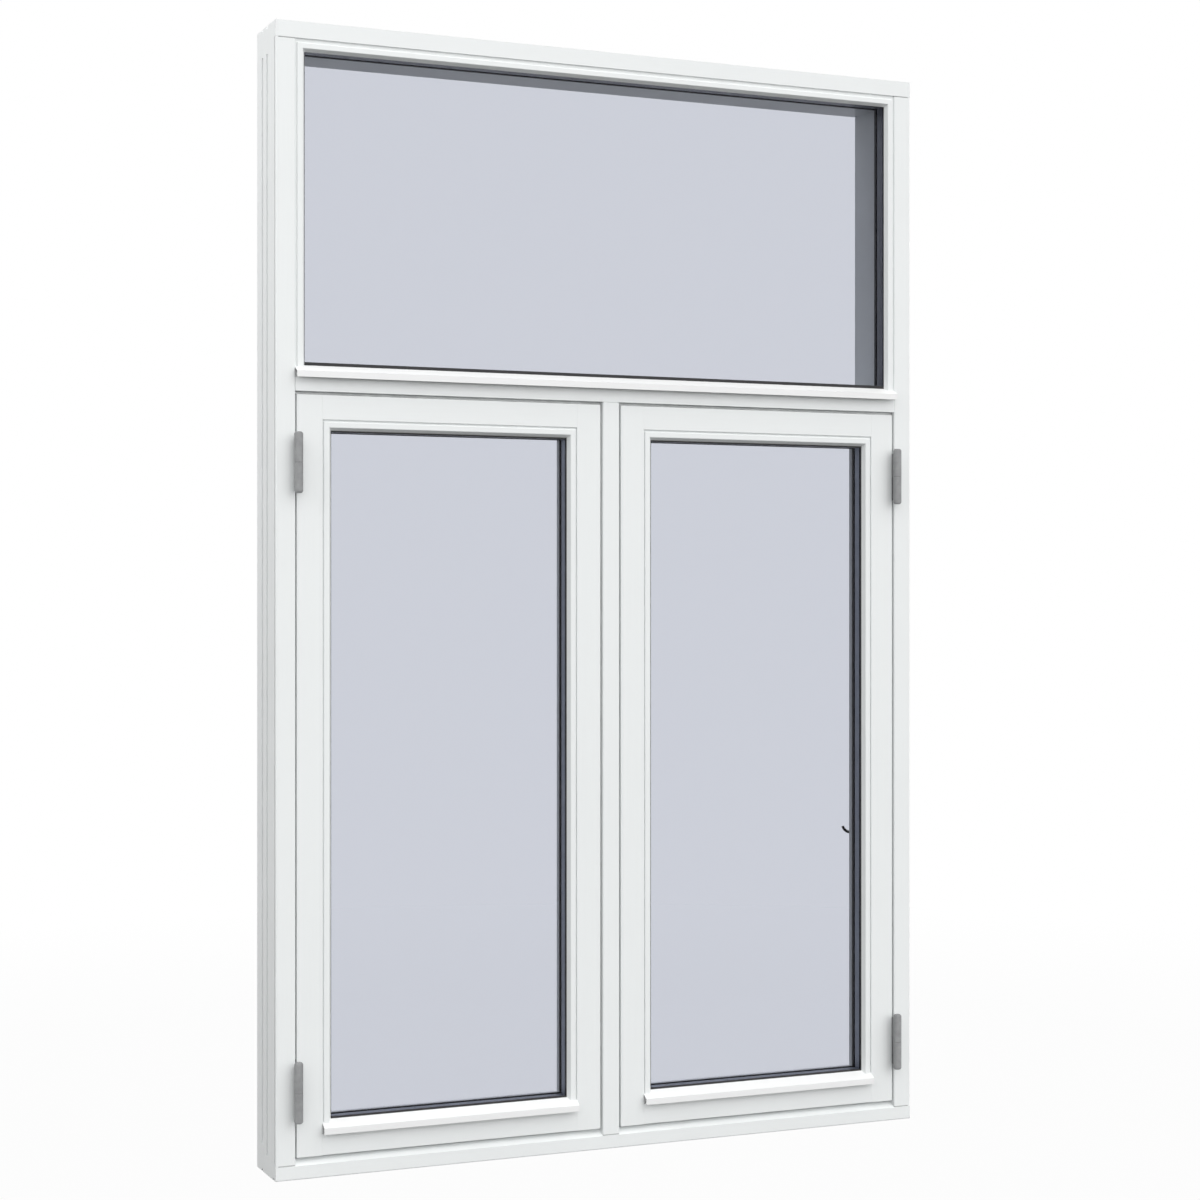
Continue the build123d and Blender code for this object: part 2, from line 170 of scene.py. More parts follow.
# Directions from the window to its lights, and where the side lamp stands and points
KEY_FROM = Vector((0.42, -0.72, 0.78)).normalized()
REAR_FROM = Vector((0.1, 1, 0.2)).normalized()
REAR_SOFTNESS = math.radians(18)
SIDE_LAMP_PLACE = Vector((-2.4, -0.2, 2.4))
SIDE_LAMP_AIM = Vector((-0.6, 0, 1.6))
SIDE_LAMP_SIZE = 1.2

# The camera's sensor in millimetres, how far it sees, and how far under the sill the floor lies
SENSOR_WIDTH = 36
FARTHEST_SEEN = 100
FLOOR_DROP = 0.0005


class Wire:
    """A shader socket with arithmetic, so that an expression on wires adds its Math nodes."""

    def __init__(self, nodes, socket):
        self.nodes = nodes
        self.socket = socket

    def _math(self, operation, first, second):
        settings = {"operation": operation}
        return self.nodes.node("ShaderNodeMath", settings, {0: first, 1: second})

    def __add__(self, other):
        return self._math("ADD", self, other)

    __radd__ = __add__

    def __sub__(self, other):
        return self._math("SUBTRACT", self, other)

    def __rsub__(self, other):
        return self._math("SUBTRACT", other, self)

    def __mul__(self, other):
        return self._math("MULTIPLY", self, other)

    __rmul__ = __mul__

    def __gt__(self, other):
        return self._math("GREATER_THAN", self, other)

    def __lt__(self, other):
        return self._math("LESS_THAN", self, other)

    def __abs__(self):
        return self._math("ABSOLUTE", self, 0.0)

    def wrapped(self, length):
        """The distance from the nearest multiple of a length, for what repeats along a bar."""
        return self._math("PINGPONG", self, length / 2)


class Nodes:
    """The nodes of a material or a world, which all come from one method."""

    def __init__(self, tree):
        self.tree = tree
        self.tree.nodes.clear()

    def node(self, kind, settings=None, sockets=None, output=0):
        """A node of any type: its settings first, then the values or wires of its sockets."""
        made = self.tree.nodes.new(kind)
        for name, value in (settings or {}).items():
            setattr(made, name, value)
        for name, value in (sockets or {}).items():
            if isinstance(value, Wire):
                self.tree.links.new(value.socket, made.inputs[name])
            else:
                made.inputs[name].default_value = value
        return Wire(self, made.outputs[output])

    def show(self, output_kind, shader):
        """Ends the tree with a shader as its surface."""
        output = self.tree.nodes.new(output_kind)
        self.tree.links.new(shader.socket, output.inputs["Surface"])

    def parts(self, wire):
        """The X, Y and Z of a vector as three wires."""
        split = self.node("ShaderNodeSeparateXYZ", sockets={"Vector": wire})
        return [Wire(self, split.socket.node.outputs[axis]) for axis in "XYZ"]

    def clamp(self, wire):
        """A wire kept from 0 to 1."""
        return self.node("ShaderNodeClamp", sockets={"Value": wire})

    def seen_or_mirrored(self):
        """A factor of 1 for what the camera sees, straight, in gloss or through glass."""
        camera = self.node("ShaderNodeLightPath", output="Is Camera Ray")
        rays = camera.socket.node.outputs
        gloss = Wire(self, rays["Is Glossy Ray"])
        through = Wire(self, rays["Is Transmission Ray"])
        before_any_bounce = Wire(self, rays["Diffuse Depth"]) < 0.5
        return self.clamp(camera + gloss + through) * before_any_bounce

    def mixed(self, factor, first, second):
        """Two shaders mixed by a factor."""
        return self.node("ShaderNodeMixShader", sockets={0: factor, 1: first, 2: second})


class Finish(Nodes):
    """A material with one main shader."""

    def __init__(self, name, **principled):
        self.material = bpy.data.materials.new(name)
        self.material.use_nodes = True
        super().__init__(self.material.node_tree)
        self.shader = self.node("ShaderNodeBsdfPrincipled")
        self.surface = self.shader.socket.node
        for name, value in principled.items():
            self.surface.inputs[name.replace("_", " ")].default_value = value

    def done(self, shader=None):
        """The finished material."""
        self.show("ShaderNodeOutputMaterial", shader or self.shader)
        return self.material

    def axes(self):
        """The X, Y and Z of the object coordinates as three wires."""
        return self.parts(self.node("ShaderNodeTexCoord", output="Object"))

    def noise(self, scale, detail=2.0, along=None, stretch=1.0):
        """Noise from 0 to 1 in so many patches to the metre, drawn out along an axis if one is given."""
        scales = tuple(stretch if axis == along else 1.0 for axis in "XYZ")
        coordinates = self.node("ShaderNodeTexCoord", output="Object")
        place = self.node("ShaderNodeMapping", sockets={"Vector": coordinates, "Scale": scales})
        sockets = {"Vector": place, "Scale": scale, "Detail": detail}
        return self.node("ShaderNodeTexNoise", sockets=sockets)

    def varied(self, value, *patterns):
        """A value that patterns from 0 to 1 vary about it, each by a spread of its own."""
        for pattern, spread in patterns:
            value = value + (pattern - 0.5) * spread
        return value

    def blend(self, mask, first, second):
        """A colour between two, by a mask from 0 to 1."""
        sockets = {0: mask, 6: first, 7: second}
        return self.node("ShaderNodeMix", {"data_type": "RGBA"}, sockets, output=2)

    def feed(self, **wires):
        """Links wires to sockets of the surface."""
        for name, wire in wires.items():
            self.tree.links.new(wire.socket, self.surface.inputs[name.replace("_", " ")])

    def relief(self, height, depth):
        """Bumps of a given depth in metres, for the surface's normal."""
        bump = self.node("ShaderNodeBump", sockets={"Height": height, "Distance": depth})
        self.feed(Normal=bump)


def opaque(colour, gain=1.0, lift=0.0):
    """A colour with its alpha, made darker or paler where asked."""
    return (*[channel * gain + lift for channel in colour], 1)


def colour_property(name, description, default):
    """A colour that a user can change, as linear values."""
    return bpy.props.FloatVectorProperty(
        name=name, description=description, default=default, size=3, min=0, max=1, subtype="COLOR"
    )


def length_property(name, description, default):
    """A length in metres that a user can change."""
    return bpy.props.FloatProperty(
        name=name, description=description, default=default, min=0, unit="LENGTH"
    )


def share_property(name, description, default):
    """A number from 0 to 1 that a user can change."""
    return bpy.props.FloatProperty(
        name=name, description=description, default=default, min=0, max=1, subtype="FACTOR"
    )


def strength_property(name, description, default):
    """A light's strength that a user can change."""
    return bpy.props.FloatProperty(name=name, description=description, default=default, min=0)


class PaintSettings(bpy.types.PropertyGroup):
    """The white paint on the timber and on the drip beads."""

    timber: colour_property("Timber paint", "Colour of the paint on the timber", (0.84, 0.862, 0.862))
    shade: colour_property(
        "Thin paint", "Colour where the paint lies thinner over the grain", (0.79, 0.808, 0.808)
    )
    drip: colour_property("Drip bead paint", "Colour of the drip beads", (0.87, 0.875, 0.875))
    roughness: share_property("Roughness", "Roughness of the satin paint", 0.42)
    grain_depth: length_property("Grain depth", "Height of the grain under the paint", 0.00012)
    stipple_depth: length_property("Stipple depth", "Height of the sprayed paint's skin", 0.00004)
    # Painted shade: a dark colour that stands in for the shade where an upright meets the sill or head
    joint: colour_property("Joint", "Colour where an upright meets the sill or head", (0.45, 0.46, 0.46))
    joint_shade_height: length_property("Joint line", "Height of that line on the upright", 0.0018)


class GlassSettings(bpy.types.PropertyGroup):
    """The double glazing: panes, spacers and gaskets."""

    tint: colour_property("Pane tint", "What one pane lets through", (0.778, 0.791, 0.832))
    bending: bpy.props.FloatProperty(
        name="IOR", description="Low, as of coated glass that mirrors little", default=1.12, min=1, max=2
    )
    spacer: colour_property("Casement spacer", "Colour of the casements' spacer bars", (0.3, 0.33, 0.4))
    dark_spacer: colour_property("Top light spacer", "Colour of its spacer bar", (0.14, 0.15, 0.18))
    rubber: colour_property("Gasket", "Colour of the glazing gaskets", (0.018, 0.018, 0.02))
    seal: colour_property("Opening seal", "Colour of the seal behind the casements", (0.4, 0.4, 0.4))
    weather_strip: colour_property(
        "Weather strip", "Colour of the strip in the joint round a casement", (0.55, 0.56, 0.56)
    )
    strip_inset: length_property("Strip inset", "From the frame's face to the weather strip", 0.008)
    strip_depth: length_property("Strip depth", "How deep the weather strip is", 0.006)
    hole_pitch: length_property("Hole pitch", "Distance between the spacer's small holes", 0.004)
    hole_size: length_property("Hole size", "Diameter of the spacer's small holes", 0.0011)


class MetalSettings(bpy.types.PropertyGroup):
    """Hinges, handles and the stay hook."""

    hinge: colour_property("Hinge", "Colour of the dull zinc on the hinges", (0.35, 0.355, 0.36))
    handle: colour_property("Handle", "Colour of the satin metal of the handles", (0.56, 0.56, 0.55))
    hook: colour_property("Hook", "Colour of the browned steel hook", (0.055, 0.05, 0.048))
    screw_head: length_property("Screw head", "Diameter of a handle screw's head", 0.0075)
    screw_rise: length_property("Screw rise", "Height of a handle screw's head", 0.0014)
    screw_spacing: length_property("Screw spacing", "Distance between a handle's screws", 0.046)
    washer: colour_property("Washer", "Colour of the hinges' washers", (0.05, 0.05, 0.052))
    washer_inset: length_property("Washer inset", "How far a hinge washer lies inside the barrel", 0.0006)


class StudioSettings(bpy.types.PropertyGroup):
    """Camera, lamps and floor."""

    camera_place: bpy.props.FloatVectorProperty(
        name="Camera place",
        description="Where the camera stands",
        default=(-1.6171, -3.7635, 0.9448),
        size=3,
        subtype="TRANSLATION",
    )
    camera_heading: bpy.props.FloatProperty(
        name="Camera heading",
        description="How far the camera looks to the right of straight ahead",
        default=math.radians(23.3),
        subtype="ANGLE",
    )
    lens: bpy.props.FloatProperty(
        name="Lens", description="Focal length in millimetres", default=70.41, min=1
    )
    sky: strength_property("Sky", "Strength of the light from all round", 0.95)
    sky_from_above: strength_property("Sky from above", "How much stronger the sky is overhead", 0.15)
    sky_from_front: strength_property("Sky from in front", "How much stronger the sky is in front", 0.4)
    key: strength_property("Key glow", "Strength of the sky's glow above and in front", 1.43)
    rear: strength_property("Rear lamp", "Strength of the lamp behind the window", 1.5)
    side: bpy.props.FloatProperty(
        name="Side lamp", description="Power of the lamp up on the left", default=18, min=0, unit="POWER"
    )
    floor_colour: colour_property("Floor", "Colour of the floor where light falls on it", (0.2, 0.2, 0.2))
    floor_size: length_property("Floor size", "Length of the floor's sides", 40.0)
    shadow_reach: length_property("Shadow reach", "Where the floor begins to fade to white", 1.6)
    floor_white: share_property("Floor white", "How white the floor shows by the window", 0.97)


def timber_finish(name, paint, along, painted_shade_heights=()):
    """Satin white paint over wood, with the grain along one axis and a dark line of painted shade at each
    joint.
    """
    finish = Finish(name, IOR=1.45)
    grain = finish.noise(GRAIN, detail=4, along=along, stretch=GRAIN_STRETCH)
    stipple = finish.noise(STIPPLE, detail=1)
    patches = finish.noise(PAINT_CLOUDS, detail=3)
    x, _, z = finish.axes()
    outer_side = abs(x) > cad_box[1].x - OUTER_SIDE_DEPTH
    thinning = (grain - GRAIN_LEVEL) * (GRAIN_THINNING + outer_side * OUTER_GRAIN_THINNING)
    thin = finish.clamp(finish.varied(thinning, (patches, CLOUD_THINNING)))
    colour = finish.blend(thin, opaque(paint.timber), opaque(paint.shade))
    # Painted shade: a dark band about each given height, for the shade in the joint between the jamb and
    # the sill or head
    for height in painted_shade_heights:
        line = (abs(z - height) < paint.joint_shade_height) * (1 - outer_side)
        colour = finish.blend(line, colour, opaque(paint.joint))
    finish.feed(
        Base_Color=colour,
        Roughness=finish.varied(
            paint.roughness, (patches, PAINT_CLOUD_SPREAD), (stipple, STIPPLE_SPREAD)
        ),
    )
    raised = grain * (GRAIN_RISE + outer_side * OUTER_GRAIN_RISE)
    stippled = stipple * (paint.stipple_depth / paint.grain_depth)
    finish.relief(raised + stippled, paint.grain_depth)
    return finish.done()


def drip_finish(paint):
    """Powder-coated aluminium: a fine even skin."""
    finish = Finish("powder_coat", IOR=1.5)
    skin = finish.noise(COAT_SKIN)
    patches = finish.noise(COAT_CLOUDS)
    finish.feed(
        Base_Color=finish.blend(patches, opaque(paint.drip), opaque(paint.drip, COAT_DULLED)),
        Roughness=finish.varied(COAT_ROUGHNESS, (skin, COAT_SPREAD)),
    )
    finish.relief(skin, paint.stipple_depth)
    return finish.done()


def glass_finish(glass):
    """Clear glass with the tint of a coated pane."""
    finish = Finish(
        "window_glass",
        Base_Color=opaque(glass.tint),
        Roughness=0.0,
        IOR=glass.bending,
        Transmission_Weight=1.0,
    )
    return finish.done()


def spacer_finish(name, colour, node, glass):
    """A spacer bar with a row of small holes down its middle, painted on as dark spots of shade."""
    finish = Finish(name, Metallic=0.35, IOR=1.5)
    x, y, z = finish.axes()
    normal = finish.node("ShaderNodeNewGeometry", output="Normal")
    upright = abs(finish.parts(normal)[0]) > 0.5
    along = upright * z + (1 - upright) * x
    low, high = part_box(node)
    from_row = abs(y - (low.y + high.y) / 2)
    from_hole = along.wrapped(glass.hole_pitch)
    # Painted shade: each small hole is only a near-black spot in the bar's colour
    hole = (from_hole < glass.hole_size / 2) * (from_row < glass.hole_size / 2)
    cloud = finish.noise(SPACER_CLOUDS, detail=3)
    bar = finish.blend(cloud, opaque(colour), opaque(colour, SPACER_DULLED))
    finish.feed(
        Base_Color=finish.blend(hole, bar, HOLE_SHADE),
        Roughness=finish.varied(SPACER_ROUGHNESS, (cloud, SPACER_SPREAD)),
    )
    return finish.done()


def rubber_finish(name, colour, roughness):
    """Extruded rubber: matt, with faint lines and dust."""
    finish = Finish(name, IOR=1.5)
    skin = finish.noise(RUBBER_SKIN, detail=3)
    dust = finish.noise(RUBBER_DUST, detail=4)
    dusty = opaque(colour, gain=1.7, lift=0.01)
    finish.feed(
        Base_Color=finish.blend(finish.clamp(dust - DUST_LEVEL), opaque(colour), dusty),
        Roughness=finish.varied(roughness, (skin, RUBBER_SPREAD)),
    )
    finish.relief(skin, RUBBER_RELIEF)
    return finish.done()


def metal_finish(name, colour, brushed_along, roughness, metallic):
    """Metal with fine lines along one axis and slight clouding."""
    finish = Finish(name, Metallic=metallic)
    lines = finish.noise(BRUSH_LINES, detail=3, along=brushed_along, stretch=BRUSH_STRETCH)
    cloud = finish.noise(METAL_CLOUDS, detail=4)
    clouded = finish.clamp(cloud * METAL_CONTRAST - METAL_CLEARED)
    finish.feed(
        Base_Color=finish.blend(clouded, opaque(colour), opaque(colour, METAL_DULLED)),
        Roughness=finish.varied(roughness, (cloud, METAL_CLOUD_SPREAD), (lines, BRUSH_SPREAD)),
    )
    finish.relief(lines, BRUSH_RELIEF)
    return finish.done()


def both(*names):
    """The names of pieces that each casement has, left and right."""
    return [f"{side}_{name}" for side in SIDES for name in names]


def wear(material, nodes):
    """Gives packed pieces their material."""
    for node in nodes:
        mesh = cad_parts[node].data
        mesh.materials.clear()
        mesh.materials.append(material)


class WINDOW_OT_paint(bpy.types.Operator):
    """Paint the timber members and the drip beads"""

    bl_idname = "window.paint"
    bl_label = "Paint Timber and Drip Beads"

    def execute(self, context):
        paint = context.scene.window_paint
        # Heights of the jamb's ends, where painted shade marks its joints with the sill and head
        jamb_ends = [corner.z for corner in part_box("frame_jamb_left")]
        across = timber_finish("paint_on_cross_grain", paint, "X")
        upright = timber_finish("paint_on_upright_grain", paint, "Z", jamb_ends)
        wear(across, [*ACROSS, *both(*CASEMENT_ACROSS)])
        wear(upright, [*UPRIGHT, *both(*CASEMENT_UPRIGHT)])
        wear(drip_finish(paint), ["top_light_drip_bead", *both("casement_drip_bead")])
        return {"FINISHED"}


class WINDOW_OT_glaze(bpy.types.Operator):
    """Give the panes, spacers and seals their finishes"""

    bl_idname = "window.glaze"
    bl_label = "Glass, Spacers and Seals"

    def execute(self, context):
        glass = context.scene.window_glass
        grey_bar = spacer_finish("grey_spacer", glass.spacer, "left_casement_spacer", glass)
        dark_bar = spacer_finish("dark_spacer", glass.dark_spacer, "top_light_spacer", glass)
        gasket = rubber_finish("black_gasket", glass.rubber, roughness=0.6)
        seal = rubber_finish("grey_seal", glass.seal, roughness=0.7)
        wear(glass_finish(glass), ["top_light_glass", *both("casement_glass")])
        wear(gasket, ["top_light_gaskets", *both("casement_gaskets")])
        wear(grey_bar, both("casement_spacer"))
        wear(dark_bar, ["top_light_spacer"])
        wear(seal, both("opening_seal"))
        return {"FINISHED"}


class WINDOW_OT_metal(bpy.types.Operator):
    """Give the hinges, handles and stay hook their metal"""

    bl_idname = "window.metal"
    bl_label = "Metal of Hinges, Handles and Hook"

    def execute(self, context):
        metal = context.scene.window_metal
        zinc = metal_finish("dull_zinc", metal.hinge, "Z", roughness=0.55, metallic=0.55)
        satin = metal_finish("satin_metal", metal.handle, "Z", roughness=0.32, metallic=0.9)
        browned = metal_finish("browned_steel", metal.hook, "X", roughness=0.5, metallic=0.7)
        wear(zinc, both("frame_hinge_halves", "casement_hinge_halves"))
        wear(satin, both("casement_handle"))
        wear(browned, ["right_casement_stay_hook"])
        return {"FINISHED"}


def start_piece():
    """Deselects everything, so that the next operators act on the new piece alone."""
    bpy.ops.object.select_all(action="DESELECT")


def settle(piece, name, material):
    """Puts a finished piece's place in its mesh and adds it to the window."""
    bpy.ops.object.transform_apply(location=True, rotation=True, scale=True)
    piece.name = name
    piece.data.name = name
    piece.data.materials.clear()
    piece.data.materials.append(material)
    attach(piece, BODY)


def choose_faces(piece, wanted):
    """Selects the faces of the piece in edit mode that a test on their normal picks."""
    bpy.ops.mesh.select_mode(type="FACE")
    bpy.ops.mesh.select_all(action="DESELECT")
    bpy.ops.object.mode_set(mode="OBJECT")
    for face in piece.data.polygons:
        face.select = wanted(face.normal)
    bpy.ops.object.mode_set(mode="EDIT")


def joined(pieces):
    """Several pieces made into one."""
    start_piece()
    for piece in pieces:
        piece.select_set(True)
    bpy.context.view_layer.objects.active = pieces[0]
    bpy.ops.object.join()
    return bpy.context.object


class WINDOW_OT_handle_screws(bpy.types.Operator):
    """Add the two screws that hold each handle's plate"""

    bl_idname = "window.handle_screws"
    bl_label = "Handle Screws"

    def execute(self, context):
        metal = context.scene.window_metal
        for side in SIDES:
            node = f"{side}_casement_handle"
            low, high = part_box(node)
            stile_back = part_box(f"{side}_casement_lock_stile")[1].y
            plate_front = stile_back + HANDLE_PLATE_THICKNESS
            middle = (low.x + high.x) / 2
            centre = high.z - HANDLE_PLATE_HEIGHT / 2
            pair = [
                self.screw(
                    Vector((middle, plate_front, centre + way * metal.screw_spacing / 2)),
                    metal.screw_head,
                    metal.screw_rise,
                )
                for way in (-1, 1)
            ]
            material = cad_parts[node].data.materials[0]
            settle(joined(pair), f"{side}_handle_screws", material)
        return {"FINISHED"}

    def screw(self, place, head, rise):
        """A raised screw head with a cross slot that faces the room."""
        start_piece()
        bpy.ops.mesh.primitive_cylinder_add(
            vertices=32,
            radius=head / 2,
            depth=rise,
            location=place + Vector((0, rise / 2, 0)),
            rotation=(-math.pi / 2, 0, 0),
        )
        made = bpy.context.object
        bpy.ops.object.mode_set(mode="EDIT")
        choose_faces(made, lambda normal: normal.z > FACING)
        bpy.ops.mesh.inset(thickness=head * SCREW_RIM)
        bpy.ops.transform.translate(value=(0, rise * SCREW_CROWN, 0))
        bpy.ops.object.mode_set(mode="OBJECT")
        top = place + Vector((0, rise * (1 + SCREW_CROWN), 0))
        for turn in (0, math.pi / 2):
            self.cut_slot(made, top, turn, head, rise)
        return made

    def cut_slot(self, made, top, turn, head, rise):
        """Cuts one bar of the cross out of a screw head, with half of the cutter above it."""
        start_piece()
        bpy.ops.mesh.primitive_cube_add(size=1, location=top, rotation=(0, turn, 0))
        slot = bpy.context.object
        slot.scale = (head * SLOT_LENGTH, 2 * rise * SLOT_DEPTH, head * SLOT_WIDTH)
        cut = made.modifiers.new("slot", "BOOLEAN")
        cut.operation = "DIFFERENCE"
        cut.object = slot
        bpy.context.view_layer.objects.active = made
        bpy.ops.object.modifier_apply(modifier=cut.name)
        bpy.data.objects.remove(slot)


class WINDOW_OT_hinge_washers(bpy.types.Operator):
    """Add the washers between the two halves of each hinge"""

    bl_idname = "window.hinge_washers"
    bl_label = "Hinge Washers"

    def execute(self, context):
        metal = context.scene.window_metal
        nylon = rubber_finish("nylon_washer", metal.washer, roughness=0.5)
        for side in SIDES:
            x, y, radius = self.barrel(side)
            lower_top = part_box(f"{side}_frame_hinge_halves")[1].z
            upper_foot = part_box(f"{side}_casement_hinge_halves")[0].z
            washers = [
                self.washer(Vector((x, y, foot)), radius - metal.washer_inset)
                for foot in (lower_top, upper_foot - HINGE_GAP)
            ]
            settle(joined(washers), f"{side}_hinge_washers", nylon)
        return {"FINISHED"}

    def barrel(self, side):
        """The X and Y of a hinge barrel's centre and its radius, read from the frame's half."""
        corners = [vertex.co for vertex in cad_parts[f"{side}_frame_hinge_halves"].data.vertices]
        front = min(corner.y for corner in corners)
        widths = [corner.x for corner in corners if corner.y < front + BARREL_DEPTH]
        radius = (max(widths) - min(widths)) / 2
        return min(widths) + radius, front + radius, radius

    def washer(self, foot, radius):
        """A flat ring that fills the gap between the two halves of a hinge."""
        start_piece()
        middle = foot + Vector((0, 0, HINGE_GAP / 2))
        bpy.ops.mesh.primitive_cylinder_add(vertices=48, radius=radius, depth=HINGE_GAP, location=middle)
        made = bpy.context.object
        bpy.ops.object.mode_set(mode="EDIT")
        choose_faces(made, lambda normal: abs(normal.z) > FACING)
        bpy.ops.mesh.inset(thickness=radius * WASHER_RING)
        bpy.ops.mesh.bridge_edge_loops()
        bpy.ops.object.mode_set(mode="OBJECT")
        return made


class WINDOW_OT_weather_strips(bpy.types.Operator):
    """Add the soft strips in the joint up both sides and along the top of each casement"""

    bl_idname = "window.weather_strips"
    bl_label = "Weather Strips"

    def execute(self, context):
        glass = context.scene.window_glass
        soft = rubber_finish("pale_weather_strip", glass.weather_strip, roughness=0.6)
        self.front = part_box("frame_jamb_left")[0].y + glass.strip_inset
        self.back = self.front + glass.strip_depth
        for side, outward in zip(SIDES, (-1, 1)):
            hinge_edge, lock_edge, foot, top = self.casement_edges(side, outward)
            frame_side = hinge_edge + outward * SIDE_GAP
            mullion_side = lock_edge - outward * MULLION_GAP
            lengths = [
                self.strip(hinge_edge, frame_side, start, end)
                for start, end in self.between_hinges(side, foot, top)
            ]
            lengths.append(self.strip(lock_edge, mullion_side, foot, top))
            lengths.append(self.strip(frame_side, mullion_side, top, top + HEAD_GAP))
            settle(joined(lengths), f"{side}_weather_strip", soft)
        return {"FINISHED"}

    def casement_edges(self, side, outward):
        """The outer edges of a casement: hinge side, lock side, foot and top."""
        hinge_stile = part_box(f"{side}_casement_hinge_stile")
        lock_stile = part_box(f"{side}_casement_lock_stile")
        hinge_edge = hinge_stile[0 if outward < 0 else 1].x
        lock_edge = lock_stile[1 if outward < 0 else 0].x
        return hinge_edge, lock_edge, hinge_stile[0].z, hinge_stile[1].z

    def between_hinges(self, side, foot, top):
        """The stretches of the hinge side that no hinge leaf crosses."""
        frame_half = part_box(f"{side}_frame_hinge_halves")
        casement_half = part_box(f"{side}_casement_hinge_halves")
        half = casement_half[0].z - frame_half[0].z
        return [
            (foot, frame_half[0].z),
            (casement_half[0].z + half, frame_half[1].z - half),
            (casement_half[1].z, top),
        ]

    def strip(self, x_start, x_end, foot, top):
        """A straight length of strip whose front edges are rounded."""
        low = Vector((min(x_start, x_end), self.front, foot))
        high = Vector((max(x_start, x_end), self.back, top))
        size = high - low
        start_piece()
        bpy.ops.mesh.primitive_cube_add(size=1, location=(low + high) / 2, scale=size)
        made = bpy.context.object
        bpy.ops.object.transform_apply(location=False, rotation=False, scale=True)
        bpy.ops.object.mode_set(mode="EDIT")
        choose_faces(made, lambda normal: normal.y < -FACING)
        bpy.ops.mesh.bevel(offset=min(size) * STRIP_ROUNDING, segments=4, affect="EDGES")
        bpy.ops.object.mode_set(mode="OBJECT")
        return made


def hidden_lamp(name, kind, strength, **settings):
    """A lamp that doesn't show itself in gloss or through glass."""
    data = bpy.data.lights.new(name, kind)
    data.energy = strength
    for setting, value in settings.items():
        setattr(data, setting, value)
    lamp = bpy.data.objects.new(name, data)
    lamp.visible_glossy = False
    lamp.visible_transmission = False
    bpy.context.scene.collection.objects.link(lamp)
    return lamp


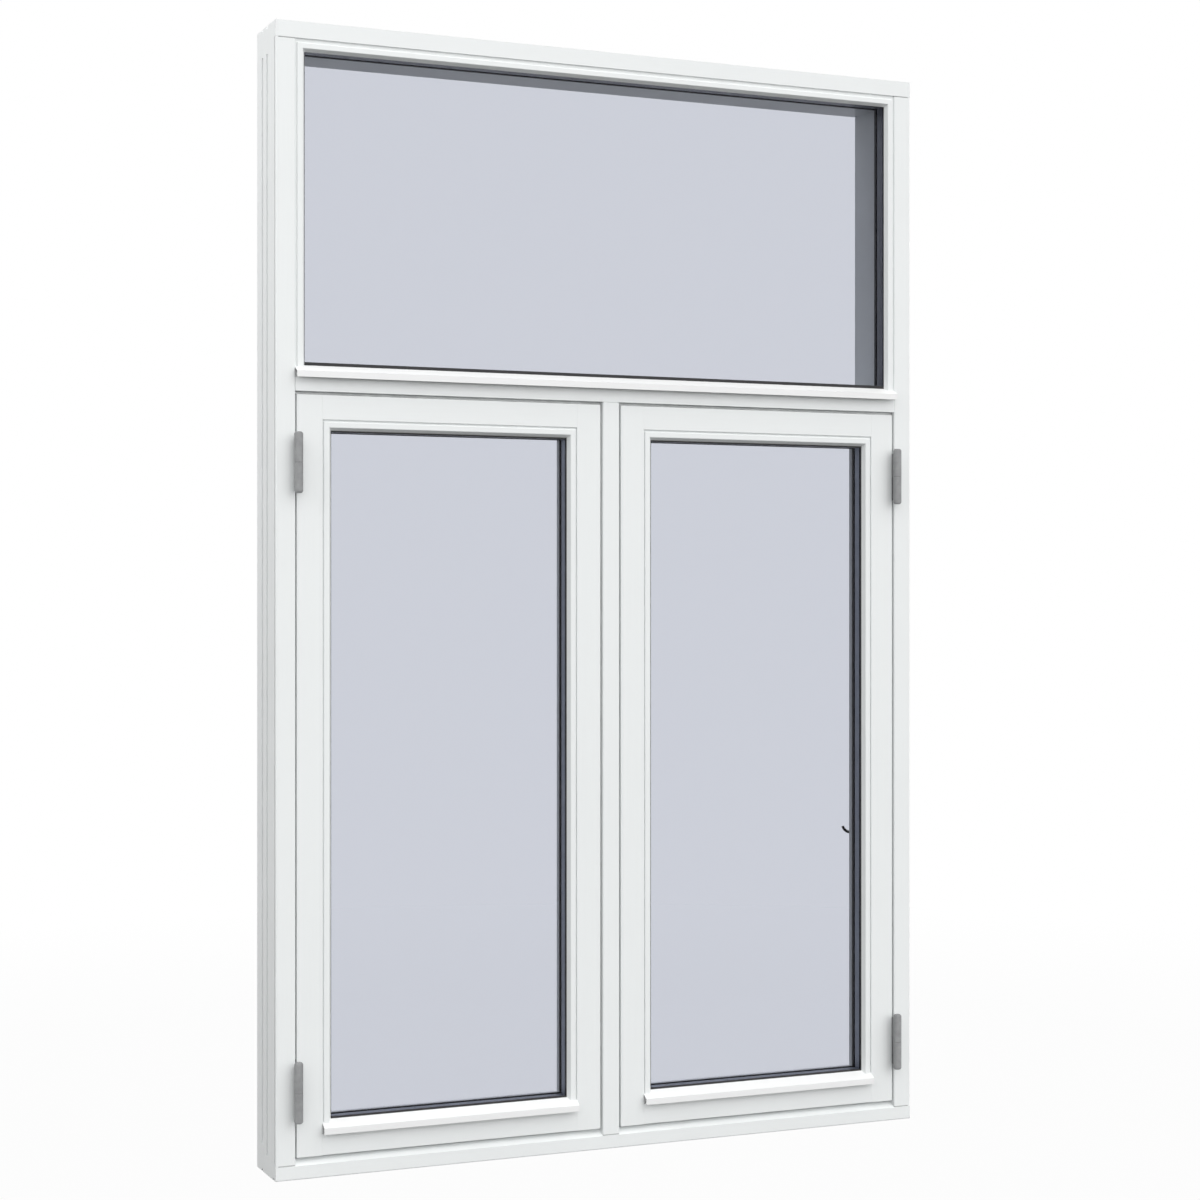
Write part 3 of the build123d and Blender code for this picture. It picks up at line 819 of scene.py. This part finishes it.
class WINDOW_OT_studio(bpy.types.Operator):
    """Set up the camera, the lamps, the white surroundings and the floor"""

    bl_idname = "window.studio"
    bl_label = "Camera, Lamps and Floor"

    def execute(self, context):
        studio = context.scene.window_studio
        self.camera(context.scene, studio)
        self.world(context.scene, studio)
        self.lamps(studio)
        self.floor(studio)
        context.scene.view_settings.view_transform = "Standard"
        return {"FINISHED"}

    def camera(self, scene, studio):
        """The camera stands where the photograph was taken."""
        data = bpy.data.cameras.new("camera")
        data.lens = studio.lens
        data.sensor_width = SENSOR_WIDTH
        data.clip_end = FARTHEST_SEEN
        camera = bpy.data.objects.new("camera", data)
        scene.collection.objects.link(camera)
        camera.location = studio.camera_place
        camera.rotation_euler = (math.pi / 2, 0, -studio.camera_heading)
        scene.camera = camera

    def world(self, scene, studio):
        """White where it is seen, and a light with a broad glow from above and from in front."""
        world = bpy.data.worlds.new("white_studio")
        world.use_nodes = True
        nodes = Nodes(world.node_tree)
        direction = nodes.node("ShaderNodeTexCoord", output="Generated")
        _, y, z = nodes.parts(direction)
        share = nodes.clamp(0.5 + z * studio.sky_from_above - y * studio.sky_from_front)
        towards_key = {0: direction, 1: KEY_FROM}
        glow = nodes.node("ShaderNodeVectorMath", {"operation": "DOT_PRODUCT"}, towards_key, "Value")
        glow = nodes.clamp(glow)
        strength = share * studio.sky + glow * glow * studio.key
        lit = nodes.node("ShaderNodeBackground", sockets={"Color": WHITE, "Strength": strength})
        shown = nodes.node("ShaderNodeBackground", sockets={"Color": WHITE})
        mix = nodes.mixed(nodes.seen_or_mirrored(), lit, shown)
        nodes.show("ShaderNodeOutputWorld", mix)
        scene.world = world

    def lamps(self, studio):
        """A far lamp for the back and a soft one for the left side."""
        rear = hidden_lamp("rear_lamp", "SUN", studio.rear, angle=REAR_SOFTNESS)
        rear.rotation_euler = REAR_FROM.to_track_quat("Z", "Y").to_euler()
        side = hidden_lamp("side_lamp", "AREA", studio.side, shape="SQUARE", size=SIDE_LAMP_SIZE)
        side.location = SIDE_LAMP_PLACE
        side.rotation_euler = (SIDE_LAMP_AIM - SIDE_LAMP_PLACE).to_track_quat("-Z", "Y").to_euler()

    def floor(self, studio):
        """A floor that keeps a soft shadow near the window and fades to white further off."""
        start_piece()
        bpy.ops.mesh.primitive_plane_add(size=studio.floor_size, location=(0, 0, -FLOOR_DROP))
        floor = bpy.context.object
        floor.name = "floor"
        finish = Finish("pale_floor", Base_Color=opaque(studio.floor_colour), Roughness=FLOOR_ROUGHNESS)
        coordinates = finish.node("ShaderNodeTexCoord", output="Object")
        distance = finish.node("ShaderNodeVectorMath", {"operation": "LENGTH"}, {0: coordinates}, "Value")
        fade = finish.clamp((distance - studio.shadow_reach) * (1 / studio.shadow_reach))
        white = fade * (1 - studio.floor_white) + studio.floor_white
        shown = finish.node("ShaderNodeEmission", sockets={"Color": WHITE})
        mix = finish.mixed(white * finish.seen_or_mirrored(), finish.shader, shown)
        floor.data.materials.append(finish.done(mix))


OPERATORS = (
    WINDOW_OT_paint,
    WINDOW_OT_glaze,
    WINDOW_OT_metal,
    WINDOW_OT_handle_screws,
    WINDOW_OT_hinge_washers,
    WINDOW_OT_weather_strips,
    WINDOW_OT_studio,
)
SETTINGS = {
    "window_paint": PaintSettings,
    "window_glass": GlassSettings,
    "window_metal": MetalSettings,
    "window_studio": StudioSettings,
}


class WINDOW_PT_panel(bpy.types.Panel):
    """The window's settings and the steps that dress it"""

    bl_idname = "WINDOW_PT_panel"
    bl_label = "Casement Window"
    bl_space_type = "VIEW_3D"
    bl_region_type = "UI"
    bl_category = "Window"

    def draw(self, context):
        for name, group in SETTINGS.items():
            box = self.layout.box()
            box.label(text=group.__doc__)
            for setting in group.__annotations__:
                box.prop(getattr(context.scene, name), setting)
        for operator in OPERATORS:
            self.layout.operator(operator.bl_idname)


def register():
    """Adds the settings, the steps and the panel."""
    for name, group in SETTINGS.items():
        bpy.utils.register_class(group)
        setattr(bpy.types.Scene, name, bpy.props.PointerProperty(type=group))
    for operator in OPERATORS:
        bpy.utils.register_class(operator)
    bpy.utils.register_class(WINDOW_PT_panel)


def unregister():
    """Takes them away again."""
    bpy.utils.unregister_class(WINDOW_PT_panel)
    for operator in reversed(OPERATORS):
        bpy.utils.unregister_class(operator)
    for name, group in reversed(SETTINGS.items()):
        delattr(bpy.types.Scene, name)
        bpy.utils.unregister_class(group)


def main():
    """Dresses the window step by step."""
    register()
    bpy.ops.window.paint()
    bpy.ops.window.glaze()
    bpy.ops.window.metal()
    bpy.ops.window.handle_screws()
    bpy.ops.window.hinge_washers()
    bpy.ops.window.weather_strips()
    bpy.ops.window.studio()


if __name__ == "__main__":
    main()
